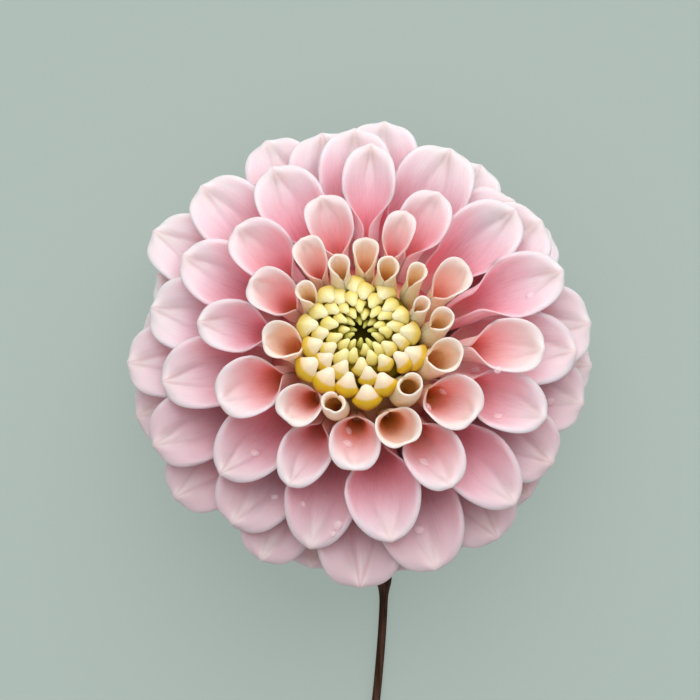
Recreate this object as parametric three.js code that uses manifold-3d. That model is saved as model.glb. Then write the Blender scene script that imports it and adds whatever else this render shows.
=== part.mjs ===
// A cut dahlia bloom on its stem, lying on its back on a table. Millimetres, +Z up.
// The bloom faces up and leans a little towards +Y. The stem leaves it underneath, bends and lies along -Y.
import * as THREE from "three";
import { mergeVertices } from "three/addons/utils/BufferGeometryUtils.js";
import Module from "manifold-3d";

const wasm = await Module();
wasm.setup();

// Driving dimensions. Angles are in degrees.
const BLOOM_CENTRE = [0.12, 43.84, 25.0];
const BLOOM_TILT = 13;
const TURN = 99.46; // from each floret to the next, seen from the front
const FIRST_TURN = 325.76;
const BUDS = 55; // about as many florets are still closed, counted from the eye outwards
const BUD_FIRST = 3; // those before it are a dark point in the eye
const LAG = 5.5; // those on the lower side of the bloom open later by as many
const LATE = [56, 60, 64]; // and a few others too
const QUILL_LAST = 71; // the rest up to this one are rolled
const TUBE_LAST = 84; // the first pink florets still close to a tube at the base
const PLAIN_FROM = 104; // those nearer the back have fewer lines
const FLORET_LAST = 153;
const BLADE = 0.7; // thickness
const LIP = 0.45; // how far a margin turns outwards
const ROOT = 0.03; // a rolled floret starts at this share of its length, inside the core
const OPEN_ROOT = 0.3; // and an open one here
const GAP = 0.32; // between two pieces that touch
const PRESS_FROM = 2.2; // petals under this height bend to lie on the table
const PRESS_TO = 0.2;
const STEM_RADIUS = 0.95;
const NECK_RADIUS = 1.7;

// The growth of a floret, by its index. Each row holds the index, the tip's distance from the axis and its
// height over the widest ring, the root's distance and height, the angle from the axis at the root and at
// the tip, the tube's radius and the opening's half angle at the widest place, and the shares of the length
// where it opens and where its end starts to round, and the flare of the end.
const GROWTH = [
  [54, 14.7, 26.0, 8.0, 3.0, 40, 8, 1.6, 160, 0.87, 0.93, 0.14],
  [62, 16.6, 26.0, 8.2, 2.6, 40, 14, 1.85, 154, 0.84, 0.92, 0.14],
  [68, 19.2, 25.2, 8.6, 1.8, 38, 26, 2.4, 144, 0.79, 0.9, 0.15],
  [72, 24.0, 23.6, 9.2, 1.0, 35, 44, 3.5, 128, 0.71, 0.86, 0.18],
  [76, 29.0, 21.9, 9.8, -0.5, 33, 58, 4.5, 112, 0.64, 0.82, 0.2],
  [84, 36.8, 18.3, 10.8, -3.5, 33, 72, 6.2, 92, 0.56, 0.78, 0.25],
  [96, 45.1, 11.7, 11.8, -7.0, 44, 84, 8.3, 66, 0.54, 0.75, 0.3],
  [110, 48.8, 5.9, 12.4, -10.0, 60, 94, 12.0, 44, 0.54, 0.73, 0.35],
  [126, 50.0, -0.5, 12.8, -12.0, 75, 105, 12.8, 41, 0.52, 0.72, 0.4],
  [140, 47.2, -10.0, 12.4, -13.2, 88, 118, 12.8, 41, 0.52, 0.72, 0.4],
  [156, 37.0, -30.0, 11.4, -14.0, 98, 150, 12.0, 41, 0.52, 0.72, 0.4],
];
// Florets that stand a little apart from the rule: how far they are turned in degrees, how much further they
// reach, and their width as a share of the rule's.
const ASTRAY = new Map([
  [55, [-16, 0, 0.95]], [59, [-7, 0.2, 1.25]], [62, [-4, 2.2, 1.15]], [63, [-1, -0.7, 1.1]],
  [65, [0, -0.2, 0.9]], [66, [-6, 0.2, 0.88]], [67, [-2, -2.6, 0.78]], [68, [1, -1.4, 0.72]],
  [69, [-6, 1.6, 1.18]], [70, [-1, -2, 0.86]], [71, [0, -2, 1]], [72, [4, 2.6, 0.95]], [73, [6, 0.9, 0.9]],
  [74, [-4, -3.6, 0.74]], [75, [4, -3.2, 0.78]], [76, [-4, 0.5, 1]], [77, [7, -2.3, 0.64]],
  [78, [-8, -5.5, 0.84]], [79, [3, -3.6, 0.78]], [80, [-9, 5, 0.95]], [81, [4, -3.6, 0.82]],
  [82, [4, -2, 0.88]], [83, [-1, 1.6, 0.82]], [84, [21, -1.3, 0.84]], [85, [-2, -2, 0.92]],
  [86, [5, -3.6, 0.64]], [87, [-2, 2.7, 0.93]], [88, [9, 3, 0.8]], [89, [-4, -6.5, 0.7]],
  [90, [0, 1.9, 0.9]], [91, [2, 2.6, 0.92]], [92, [2, 0, 0.95]], [93, [9, -3, 0.95]], [94, [-3, 2.7, 0.94]],
  [95, [-12, -0.8, 0.95]], [96, [-1, -2, 0.93]], [97, [4, -0.8, 0.9]], [98, [4, 0, 1]], [99, [0, 2, 1]],
  [100, [-1, -4.6, 0.92]], [101, [-2, 2.9, 1]], [102, [5, 0, 1]], [103, [3, 2.3, 1]], [104, [6, -0.5, 1]],
  [106, [-2, 0, 1]], [107, [2, -3.3, 1]], [108, [1, 2.7, 1]], [110, [-5, 0.7, 1]], [113, [0, -2.6, 1]],
  [114, [5, 2.4, 1]], [116, [2, -1.5, 1]], [117, [3, 1.6, 1]], [119, [0, -1.6, 1]], [120, [0, -3, 1]],
  [121, [-8, 2, 1]], [123, [0, -2.5, 1]], [125, [0, -2.5, 1]], [126, [0, -3, 1]], [130, [0, -3, 1]],
  [133, [0, -4, 1]], [134, [0, -3, 1]],
]);

const PINK = 0xf2c4cf;
const PEACH = 0xe8cdb4;
const YELLOW = 0xe6cf6a;
const GREEN = 0x7f9456;
const BROWN = 0x4a3426;

const rad = THREE.MathUtils.degToRad;
const sin = Math.sin;
const cos = Math.cos;

// A draw from -1 to 1 for floret i, the same each time.
function draw(i, k) {
  const a = Math.abs(sin(i * 12.9898 + k * 78.233) * 43758.5453);
  return 2 * (a - Math.floor(a)) - 1;
}

function smooth(t) {
  const c = Math.min(Math.max(t, 0), 1);
  return c * c * (3 - 2 * c);
}

// The growth row at any index, by a smooth curve through the rows.
function growth(index) {
  const last = GROWTH.length - 1;
  const x = Math.min(Math.max(index, GROWTH[0][0]), GROWTH[last][0]);
  let k = 0;
  while (k < last - 1 && GROWTH[k + 1][0] < x) k += 1;
  const slope = (j, c) => {
    const a = GROWTH[Math.max(j - 1, 0)];
    const b = GROWTH[Math.min(j + 1, last)];
    return (b[c] - a[c]) / (b[0] - a[0]);
  };
  const h = GROWTH[k + 1][0] - GROWTH[k][0];
  const t = (x - GROWTH[k][0]) / h;
  const row = [];
  for (let c = 1; c < GROWTH[0].length; c += 1) {
    const p = GROWTH[k][c];
    const q = GROWTH[k + 1][c];
    const mp = slope(k, c) * h;
    const mq = slope(k + 1, c) * h;
    const t2 = t * t;
    const t3 = t2 * t;
    row.push((2 * t3 - 3 * t2 + 1) * p + (t3 - 2 * t2 + t) * mp + (3 * t2 - 2 * t3) * q + (t3 - t2) * mq);
  }
  return row;
}

// From the bloom's own frame, its axis along z, to the table's.
function place(x, y, z) {
  const t = rad(BLOOM_TILT);
  return [
    BLOOM_CENTRE[0] + x,
    BLOOM_CENTRE[1] + y * cos(t) + z * sin(t),
    BLOOM_CENTRE[2] - y * sin(t) + z * cos(t),
  ];
}

// Where the table presses a petal of this height to.
function press(z) {
  const room = 2 * (PRESS_FROM - PRESS_TO);
  const u = Math.min(Math.max((PRESS_FROM - z) / room, 0), 1);
  return u > 0 ? PRESS_FROM - room * (u - (u * u) / 2) : z;
}

// A cubic curve in the plane of the axis, with its direction.
function bezier(p, s) {
  const t = 1 - s;
  const at = [0, 1].map(
    (c) => t * t * t * p[0][c] + 3 * t * t * s * p[1][c] + 3 * t * s * s * p[2][c] + s * s * s * p[3][c],
  );
  const d = [0, 1].map(
    (c) => t * t * (p[1][c] - p[0][c]) + 2 * t * s * (p[2][c] - p[1][c]) + s * s * (p[3][c] - p[2][c]),
  );
  const n = Math.hypot(d[0], d[1]);
  return { at, dir: [d[0] / n, d[1] / n] };
}

// All that floret i needs: its turn, its midrib and its widths.
function floret(i) {
  const row = growth(i);
  const [astray, further, stout] = ASTRAY.get(i) ?? [0, 0, 1];
  const side = sin(rad(FIRST_TURN + TURN * i));
  const turn = rad(FIRST_TURN + TURN * i + astray + 1.5 * draw(i, 1));
  const reach = row[0] * (1 + 0.015 * draw(i, 2)) + further;
  const height = row[1] + 0.25 * draw(i, 3);
  const rise = rad(row[4] + 2 * draw(i, 4));
  const lean = (side > 0 ? 18 : 34) * side * (1 - smooth((i - 68) / 14));
  const fall = rad(row[5] + 4 * draw(i, 5) + lean);
  const low = 1 - 0.16 * side * (1 - smooth((i - 76) / 30));
  const open = rad(row[7] * (1 + 0.05 * draw(i, 6)));
  const wide = row[6] * low * open * (1 + 0.04 * draw(i, 7)) * stout;
  const length = Math.hypot(reach - row[2], height - row[3]) * 1.03;
  const rib = [
    [row[2], row[3]],
    [row[2] + 0.4 * length * sin(rise), row[3] + 0.4 * length * cos(rise)],
    [reach - 0.38 * length * sin(fall), height - 0.38 * length * cos(fall)],
    [reach, height],
  ];
  const shut = rad(178 - 132 * smooth((i - TUBE_LAST) / 22));
  const early = 1 - smooth((i - 62) / 14);
  const skew = rad(4 * draw(i, 8));
  return { turn, rib, wide, open, shut, early, skew, opens: row[8], rounds: row[9], flare: row[10] };
}

// Half of the floret's width, laid flat, at share s of its length. The early ones widen soon and have a belly.
function halfWidth(f, s) {
  const grown = smooth((s - 0.2 + 0.12 * f.early) / (f.opens - 0.08 - 0.2 * f.early));
  const belly = 1 + 0.3 * f.early * Math.exp(-(((s - 0.68) / 0.16) ** 2));
  return f.wide * (0.22 + 0.78 * grown) * belly;
}

// The half angle that the section spans there.
function halfAngle(f, s) {
  return f.shut + (f.open - f.shut) * smooth((s - f.opens) / (f.rounds - f.opens));
}

function radius(f, s) {
  const q = Math.min(Math.max((s - f.rounds) / (1 - f.rounds), 0), 1);
  return (halfWidth(f, s) / halfAngle(f, s)) * (1 + f.flare * q);
}

// How far along the end reaches on the line at share h of the half width.
const endAt = (f, h) => f.rounds + (1 - f.rounds) * Math.pow(1 - Math.pow(Math.abs(h), 2.3), 0.55);

// The point at share s, angle phi round the section, and depth off towards the inner face.
function floretPoint(f, s, phi, off) {
  const { at, dir } = bezier(f.rib, s);
  const r = radius(f, s);
  const sides = [0, off].map((d) => {
    const up = r * (1 - cos(phi)) + d * cos(phi);
    const across = r * sin(phi) - d * sin(phi);
    const a = f.skew * smooth(s);
    const up2 = up * cos(a) - across * sin(a);
    const across2 = up * sin(a) + across * cos(a);
    const rho = at[0] - dir[1] * up2;
    const z = at[1] + dir[0] * up2;
    return place(rho * cos(f.turn) - across2 * sin(f.turn), rho * sin(f.turn) + across2 * cos(f.turn), z);
  });
  const [mid, face] = sides;
  return [face[0], face[1], face[2] - mid[2] + press(mid[2])];
}

// Closed solid from rows of points, each row a ring. The first and last rows are closed by fans.
function solidFromRings(rings) {
  const n = rings[0].length;
  const position = rings.flat(2);
  const index = [];
  for (let r = 0; r < rings.length - 1; r += 1) {
    for (let k = 0; k < n; k += 1) {
      const a = r * n + k;
      const b = r * n + ((k + 1) % n);
      index.push(a, b, b + n, a, b + n, a + n);
    }
  }
  for (const [r, flip] of [
    [0, true],
    [rings.length - 1, false],
  ]) {
    const centre = position.length / 3;
    for (let c = 0; c < 3; c += 1) position.push(rings[r].reduce((sum, p) => sum + p[c], 0) / n);
    for (let k = 0; k < n; k += 1) {
      const a = r * n + k;
      const b = r * n + ((k + 1) % n);
      index.push(...(flip ? [b, a, centre] : [a, b, centre]));
    }
  }
  return solid(position, index);
}

// A solid for joining and cutting, turned so that its faces point out.
function solid(position, index) {
  let geometry = new THREE.BufferGeometry();
  geometry.setAttribute("position", new THREE.Float32BufferAttribute(position, 3));
  geometry.setIndex(index);
  return fromGeometry(geometry);
}

function fromGeometry(source) {
  let geometry = source.clone();
  geometry.deleteAttribute("normal");
  geometry.deleteAttribute("uv");
  geometry = mergeVertices(geometry, 1e-5);
  const p = geometry.attributes.position.array;
  const t = Uint32Array.from(geometry.index.array);
  const kept = [];
  let volume = 0;
  for (let k = 0; k < t.length; k += 3) {
    if (t[k] === t[k + 1] || t[k + 1] === t[k + 2] || t[k] === t[k + 2]) continue;
    kept.push(t[k], t[k + 1], t[k + 2]);
    const [a, b, c] = [t[k] * 3, t[k + 1] * 3, t[k + 2] * 3];
    volume += p[a] * (p[b + 1] * p[c + 2] - p[b + 2] * p[c + 1]);
    volume += p[a + 1] * (p[b + 2] * p[c] - p[b] * p[c + 2]);
    volume += p[a + 2] * (p[b] * p[c + 1] - p[b + 1] * p[c]);
  }
  if (volume < 0) {
    for (let k = 0; k < kept.length; k += 3) [kept[k], kept[k + 1]] = [kept[k + 1], kept[k]];
  }
  const mesh = new wasm.Mesh({ numProp: 3, vertProperties: Float32Array.from(p), triVerts: Uint32Array.from(kept) });
  return new wasm.Manifold(mesh);
}

function joinAll(solids) {
  let pile = solids;
  while (pile.length > 1) {
    const next = [];
    for (let k = 0; k < pile.length; k += 2) next.push(k + 1 < pile.length ? pile[k].add(pile[k + 1]) : pile[k]);
    pile = next;
  }
  return pile[0];
}

// The largest of the pieces that a cut leaves.
function largest(body) {
  return body.decompose().reduce((best, part) => (part.volume() > best.volume() ? part : best));
}

// A round body about the bloom's axis, from an outline of distance and height.
function round(outline, sides) {
  const points = outline.map(([rho, z]) => new THREE.Vector2(rho, z));
  const geometry = new THREE.LatheGeometry([...points, points[0]], sides);
  const p = geometry.attributes.position;
  for (let k = 0; k < p.count; k += 1) {
    p.setXYZ(k, ...place(p.getX(k), p.getZ(k), p.getY(k)));
  }
  return fromGeometry(geometry);
}

// A floret that closes to a tube at its base: a stalk, a mouth cut on a slant, and the hollow in it.
// With grow above 0 it is the full, fatter shape that a neighbour has to stay clear of.
function rolledFloret(i, grow = 0) {
  const f = floret(i);
  const rim = [0, 0.36, 0.7, 1].map((share) => {
    const phi = share * f.open;
    let low = 0;
    let high = 1;
    for (let step = 0; step < 30; step += 1) {
      const h = (low + high) / 2;
      const s = endAt(f, h);
      if ((h * halfWidth(f, s)) / radius(f, s) < phi) low = h;
      else high = h;
    }
    return [phi, endAt(f, low)];
  });
  rim.push([Math.PI, f.opens]);
  const ring = [...rim, ...rim.slice(1, -1).reverse().map(([phi, s]) => [-phi, s])];
  const out = -BLADE / 2 - grow;
  const inn = BLADE / 2;
  const row = (share, off) => ring.map(([phi, s]) => floretPoint(f, ROOT + (s - ROOT) * share, phi, off));
  const outer = [row(0, out), row(0.6, out)];
  if (grow > 0) {
    const longer = ring.map(([phi, s]) => floretPoint(f, Math.min(s + grow / 30, 1), phi, out - LIP));
    const lid = ring.map(([phi, s]) => floretPoint(f, Math.min(s + grow / 30, 1), phi, inn + grow));
    return solidFromRings([...outer, longer, lid]);
  }
  const floor = 0.55 * f.opens;
  const inside = (share) => ring.map(([phi, s]) => floretPoint(f, floor + (s - floor) * share, phi, inn));
  return solidFromRings([...outer, row(1, out - LIP), row(1, inn - LIP), inside(0.6), inside(0)]);
}

// An open floret: a bent blade, the same rows of points on its inner and outer face.
function openFloret(i) {
  const f = floret(i);
  const lines = i < PLAIN_FROM ? [-1, -0.62, 0, 0.62, 1] : [-1, -0.45, 0.45, 1];
  const shares = i < PLAIN_FROM ? [0, 0.42, 0.75, 1] : [0, 0.55, 1];
  const n = lines.length;
  const position = [];
  for (const side of [-1, 1]) {
    for (const share of shares) {
      for (const h of lines) {
        const s = OPEN_ROOT + (endAt(f, h) - OPEN_ROOT) * share;
        const edge = share === 1 || Math.abs(h) === 1 ? smooth((s - f.opens) / 0.25) : 0;
        const phi = (h * halfWidth(f, s)) / radius(f, s);
        position.push(...floretPoint(f, s, phi, (side * BLADE) / 2 - LIP * edge));
      }
    }
  }
  const index = [];
  const other = n * shares.length;
  const quad = (a, b, c, d) => index.push(a, b, c, a, c, d);
  for (let r = 0; r < shares.length - 1; r += 1) {
    for (let k = 0; k < n - 1; k += 1) {
      const a = r * n + k;
      index.push(a, a + 1, a + n, a + 1, a + n + 1, a + n);
      index.push(other + a, other + a + n, other + a + 1, other + a + 1, other + a + n, other + a + n + 1);
    }
    const left = r * n;
    const right = r * n + n - 1;
    quad(left, left + n, other + left + n, other + left);
    quad(right, other + right, other + right + n, right + n);
  }
  for (let k = 0; k < n - 1; k += 1) {
    quad(k, other + k, other + k + 1, k + 1);
    const end = (shares.length - 1) * n + k;
    quad(end, end + 1, other + end + 1, other + end);
  }
  return solid(position, index);
}

// A closed floret of the centre: a plump body with a pointed cap that leans in over the eye.
function bud(i, grow = 0) {
  const share = (i + 0.6) / BUDS;
  const turn = rad(FIRST_TURN + TURN * i + 3 * draw(i, 1));
  const low = Math.max(-sin(turn), 0);
  const far = (0.74 + 0.12 * low) * (0.9 + 10.2 * Math.pow(share, 1.1));
  const cap = 1.6 + (1.2 + 0.3 * low) * share;
  const high = 23.4 - 2.4 * Math.max(1 - share / 0.45, 0) ** 2 - 0.6 * share ** 3;
  const wide = 0.38 + 0.2 * (far + cap) + grow;
  const tall = 3.6 + 2.4 * share;
  const rib = [
    [far + 0.45 * cap, high - tall],
    [far + 1.75 * cap, high - 0.42 * tall],
    [far + 0.8 * cap, high + (0.38 - 0.3 * smooth(share / 0.6)) * cap],
    [far, high],
  ];
  const sides = i < 30 ? 4 : 5;
  const middle = i < 36 ? [[0.62, 0.95]] : [[0.5, 1], [0.8, 0.6]];
  const rings = [[0, 0.7], ...middle, [1, 0.3]].map(([t, size]) => {
    const { at, dir } = bezier(rib, t);
    const past = t === 1 ? grow : 0;
    return Array.from({ length: sides }, (_, k) => {
      const a = (2 * Math.PI * (k - 0.25)) / sides;
      const across = wide * size * cos(a);
      const up = wide * size * (sin(a) > 0 ? 0.6 : 0.7) * sin(a);
      const rho = at[0] - dir[1] * up + dir[0] * past;
      const z = at[1] + dir[0] * up + dir[1] * past;
      return place(rho * cos(turn) - across * sin(turn), rho * sin(turn) + across * cos(turn), z);
    });
  });
  return solidFromRings(rings);
}

const count = (from, to) => Array.from({ length: to - from + 1 }, (_, k) => from + k);
const isClosed = (i) => LATE.includes(i) || i + LAG * sin(rad(FIRST_TURN + TURN * i)) < BUDS + 2.5;
const closed = count(BUD_FIRST, QUILL_LAST).filter(isClosed);
const rolled = count(0, QUILL_LAST).filter((i) => !isClosed(i));

// The shapes of a list that could reach into a floret on this turn.
function near(list, i, degrees, make) {
  return list
    .filter((j) => Math.abs(((((j - i) * TURN) % 360) + 540) % 360 - 180) < degrees)
    .map((j) => make(j, GAP));
}
const cutBy = (body, others) => others.reduce((left, other) => left.subtract(other), body);

// Yellow centre: the closed florets on a small dome with a pit at the eye.
const domeAt = (grow) =>
  round(
    [
      [0, 3.3 - grow],
      [4.2 + grow, 3.3 - grow],
      [5.0 + grow, 9],
      [9.4 + grow, 13],
      [12.4 + grow, 16.5],
      [11.2 + grow, 19.4 + grow],
      [8.2, 21.2 + grow],
      [4.6, 21.4 + grow],
      [2.4, 20.4 + grow],
      [0, 18.4 + grow],
    ],
    18,
  );
const centre = largest(joinAll([domeAt(0), ...closed.map((i) => bud(i))]));

// Peach quills: the rolled florets on a ring round the centre's foot.
const ringAt = (grow) =>
  round(
    [
      [4.9 - grow, 1.35 - grow],
      [9.6 + grow, 1.35 - grow],
      [9.6 + grow, 4.6 + grow],
      [4.9 - grow, 4.6 + grow],
    ],
    20,
  );
const outerBuds = closed.filter((i) => i > 34);
const quillSolids = rolled.map((i) => cutBy(rolledFloret(i), near(outerBuds, i, 24, bud)));
const quills = largest(joinAll([ringAt(0), ...quillSolids]).subtract(domeAt(GAP)));

// Pink petals: all the wider florets, back to the stem, on one core that holds the quills and the centre.
const core = round(
  [
    [0, -14.6],
    [11.0, -15.1],
    [22.0, -15.8],
    [26.0, -11.5],
    [26.0, -4.0],
    [23.8, 1.0],
    [20.5, 4.8],
    [17.0, 7.0],
    [13.4, 6.4],
    [10.4, 3.2],
    [10.0, 1.0],
    [0, 1.0],
  ],
  20,
);
const below = fromGeometry(new THREE.BoxGeometry(400, 400, 40).translate(0, 0, -20));
const petalSolids = [
  ...count(QUILL_LAST + 1, TUBE_LAST).map((i) =>
    cutBy(rolledFloret(i), [...near(rolled, i, 26, rolledFloret), ...near(outerBuds, i, 20, bud)]),
  ),
  ...count(TUBE_LAST + 1, FLORET_LAST).map((i) => openFloret(i)),
];
const petals = largest(
  joinAll([cutBy(core, rolled.map((i) => rolledFloret(i, GAP))), ...petalSolids]).subtract(ringAt(GAP)).subtract(below),
);

// Green calyx: the receptacle's underside with its two rows of bracts.
function bract(turnDegrees, length, wide, drop, curl) {
  const turn = rad(turnDegrees);
  const rings = [0, 0.45, 1].map((t) => {
    const rho = 5 + length * t;
    const z = -17.0 - drop * t - curl * t * t;
    const half = Math.max(wide * Math.sqrt(Math.max(1 - Math.pow(Math.abs(t - 0.35) / 0.66, 2.2), 0)), 0.35);
    const hook = 0.12 * half;
    return [
      [-half, 0.45 + hook],
      [half, 0.45 + hook],
      [half, -0.35 + hook],
      [0, -0.6],
      [-half, -0.35 + hook],
    ].map(([across, up]) =>
      place(rho * cos(turn) - across * sin(turn), rho * sin(turn) + across * cos(turn), z + up),
    );
  });
  return solidFromRings(rings);
}
const receptacle = round(
  [
    [0, -14.96],
    [10.2, -15.42],
    [10.8, -17.0],
    [8.4, -18.2],
    [4.4, -19.4],
    [2.3, -20.4],
    [0, -20.4],
  ],
  14,
);
const calyx = joinAll([
  receptacle,
  ...count(0, 6).map((k) => bract((360 / 7) * k + 12 + 4 * draw(k, 11), 9.5, 3.6, -0.2, 0.2)),
  ...count(0, 4).map((k) => bract(72 * k + 30 + 5 * draw(k, 12), 13, 2.8, 1.9, -1.4)),
]);

// Brown stem: from the calyx down, round a short bend, then along the table to its cut end.
function stemPath() {
  const t = rad(BLOOM_TILT);
  const down = new THREE.Vector3(0, -sin(t), -cos(t));
  const start = new THREE.Vector3(...place(0, 0, -20.4 - GAP));
  const lie = STEM_RADIUS - 0.12;
  const x0 = BLOOM_CENTRE[0];
  const y0 = BLOOM_CENTRE[1];
  return new THREE.CatmullRomCurve3(
    [
      start,
      start.clone().addScaledVector(down, 1.1),
      new THREE.Vector3(x0 + 0.1, start.y - 2.2, 1.9),
      new THREE.Vector3(x0 + 0.5, start.y - 6.2, 1.0),
      new THREE.Vector3(x0 + 1.3, start.y - 12, lie),
      new THREE.Vector3(x0 + 3.8, y0 - 32, lie),
      new THREE.Vector3(x0 + 5.3, y0 - 50, lie),
      new THREE.Vector3(x0 + 4.0, y0 - 74, lie),
      new THREE.Vector3(x0 + 0.4, y0 - 102, lie),
      new THREE.Vector3(x0 - 4.4, y0 - 138, lie),
    ],
    false,
    "centripetal",
  );
}
const path = stemPath();
const STEPS = 32;
const SIDES = 8;
const frames = path.computeFrenetFrames(STEPS, false);
const stemRings = count(0, STEPS).map((k) => {
  const p = path.getPointAt(k / STEPS);
  const along = (k / STEPS) * path.getLength();
  const joint = 0.55 * Math.exp(-(((along - 52) / 2.6) ** 2));
  const r = STEM_RADIUS + (NECK_RADIUS - STEM_RADIUS) * Math.exp(-along / 3.2) + joint;
  return Array.from({ length: SIDES }, (_, j) => {
    const a = (2 * Math.PI * (j + 0.5)) / SIDES;
    const v = p.clone().addScaledVector(frames.normals[k], r * cos(a)).addScaledVector(frames.binormals[k], r * sin(a));
    return [v.x, v.y, v.z];
  });
});
const stem = solidFromRings(stemRings).subtract(below);

const flower = new THREE.Group();

function addPiece(name, body, color, roughness) {
  const mesh = body.getMesh();
  const geometry = new THREE.BufferGeometry();
  geometry.setAttribute("position", new THREE.BufferAttribute(Float32Array.from(mesh.vertProperties), 3));
  geometry.setIndex(new THREE.BufferAttribute(Uint32Array.from(mesh.triVerts), 1));
  geometry.computeVertexNormals();
  const material = new THREE.MeshStandardMaterial({ color, roughness, metalness: 0 });
  const piece = new THREE.Mesh(geometry, material);
  piece.name = name;
  flower.add(piece);
}

addPiece("petals", petals, PINK, 0.55);
addPiece("quills", quills, PEACH, 0.5);
addPiece("centre", centre, YELLOW, 0.45);
addPiece("calyx", calyx, GREEN, 0.6);
addPiece("stem", stem, BROWN, 0.65);

export default flower;
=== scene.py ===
# %% [markdown]
# # A dahlia bloom, grown floret by floret
# What looks like one flower is a whole head of them. Every "petal" is a ray floret of its own, and each one
# comes a fixed turn after the last: 99.46 degrees, further out and lower down. The youngest are closed
# scales round the eye, then come rolled quills, then spoons, then open blades that bend back towards the
# stem. This lesson makes one soft slab, bends it by one formula for every floret, and lets age do the rest.
# The CAD model was made by the same rule, so the bloom here lies where its solids are.

import math
from types import SimpleNamespace

import bmesh
import bpy
import numpy as np
from mathutils import Matrix, Vector
from mathutils.bvhtree import BVHTree


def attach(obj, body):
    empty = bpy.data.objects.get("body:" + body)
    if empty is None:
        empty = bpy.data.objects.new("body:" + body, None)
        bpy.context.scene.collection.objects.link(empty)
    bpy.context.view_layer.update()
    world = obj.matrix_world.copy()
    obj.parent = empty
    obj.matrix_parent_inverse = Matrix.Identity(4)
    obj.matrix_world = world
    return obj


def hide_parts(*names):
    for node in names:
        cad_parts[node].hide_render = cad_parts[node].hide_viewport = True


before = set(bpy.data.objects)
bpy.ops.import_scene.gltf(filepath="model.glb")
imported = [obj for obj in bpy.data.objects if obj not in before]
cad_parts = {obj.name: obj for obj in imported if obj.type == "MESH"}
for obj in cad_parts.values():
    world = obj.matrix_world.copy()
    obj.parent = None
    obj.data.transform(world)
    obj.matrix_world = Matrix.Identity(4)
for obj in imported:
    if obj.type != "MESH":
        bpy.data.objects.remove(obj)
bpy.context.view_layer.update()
MM = 0.001
print("CAD nodes:", sorted(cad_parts))

# %% [markdown]
# ## The growth rule
# Seen from the front, the florets run anticlockwise and outwards. They could be placed one by one, but 150
# places set by hand don't look grown. Here a short table says how a floret of some ages stands, and a
# smooth curve through its rows gives every other age. Small seeded draws keep the florets from being copies
# of each other. Lengths are in millimetres and angles in degrees, in the bloom's own frame with its axis
# along z, until a mesh is filled.

# %% Growth table
TURN = 99.46
FIRST_TURN = 325.76

# Rise and fall are the midrib's angles from the axis, at its root and its tip. Opens at and rounds at are
# shares of its length.
# age, tip distance, tip height, root distance, root height, rise, fall, tube radius, half opening,
# opens at, rounds at, flare
GROWTH = np.array(
    [
        (54, 14.7, 26.0, 8.0, 3.0, 40, 8, 1.60, 160, 0.87, 0.93, 0.14),
        (62, 16.6, 26.0, 8.2, 2.6, 40, 14, 1.85, 154, 0.84, 0.92, 0.14),
        (68, 19.2, 25.2, 8.6, 1.8, 38, 26, 2.40, 144, 0.79, 0.90, 0.15),
        (72, 24.0, 23.6, 9.2, 1.0, 35, 44, 3.5, 128, 0.71, 0.86, 0.18),
        (76, 29.0, 21.9, 9.8, -0.5, 33, 58, 4.5, 112, 0.64, 0.82, 0.20),
        (84, 36.8, 18.3, 10.8, -3.5, 33, 72, 6.2, 92, 0.56, 0.78, 0.25),
        (96, 45.1, 11.7, 11.8, -7.0, 44, 84, 8.3, 66, 0.54, 0.75, 0.30),
        (110, 48.8, 5.9, 12.4, -10.0, 60, 94, 12.0, 44, 0.54, 0.73, 0.35),
        (126, 50.0, -0.5, 12.8, -12.0, 75, 105, 12.8, 41, 0.52, 0.72, 0.40),
        (140, 47.2, -10.0, 12.4, -13.2, 88, 118, 12.8, 41, 0.52, 0.72, 0.40),
        (156, 37.0, -30.0, 11.4, -14.0, 98, 150, 12.0, 41, 0.52, 0.72, 0.40),
    ]
)
print(len(GROWTH), "rows of growth, the widest at", GROWTH[:, 1].max(), "mm from the axis")

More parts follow.
